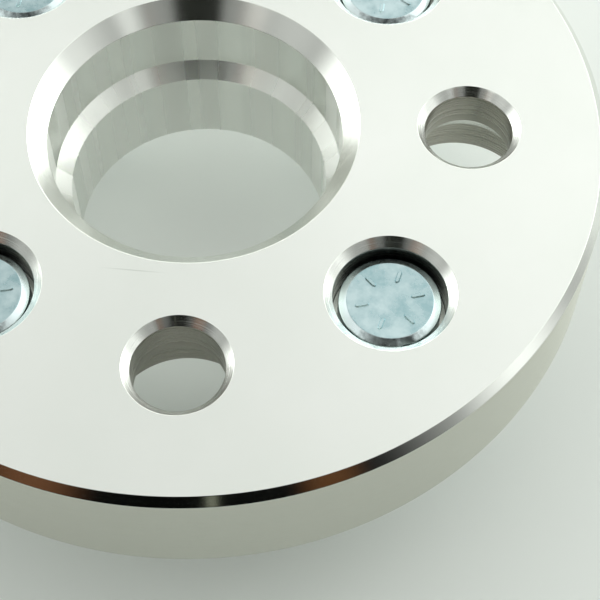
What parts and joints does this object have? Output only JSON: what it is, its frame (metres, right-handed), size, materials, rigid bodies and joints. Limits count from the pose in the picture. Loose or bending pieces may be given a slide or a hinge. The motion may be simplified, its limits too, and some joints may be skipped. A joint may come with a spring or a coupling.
{
  "type": "wheel spacer",
  "caption": "Round bolt-on wheel spacer with a stepped centre bore, a wheel-centring lip, pocketed hub-stud holes and pressed-in wheel studs between them.",
  "frame": {"origin": "centre of the hub face, on the axis of the centre bore", "axes": "+Z out of the hub face towards the vehicle's hub, +X through the middle of a hub hole"},
  "size_m": [0.15, 0.15, 0.052],
  "materials": {
    "machined_aluminium": "fine satin turned faces with bright-cut chamfers",
    "zinc_plated_steel": "bright blue-white zinc plating"
  },
  "bodies": {
    "root": {"spacer_body": "machined_aluminium", "wheel_stud_1": "zinc_plated_steel", "wheel_stud_2": "zinc_plated_steel", "wheel_stud_3": "zinc_plated_steel", "wheel_stud_4": "zinc_plated_steel"}
  },
  "joints": []
}
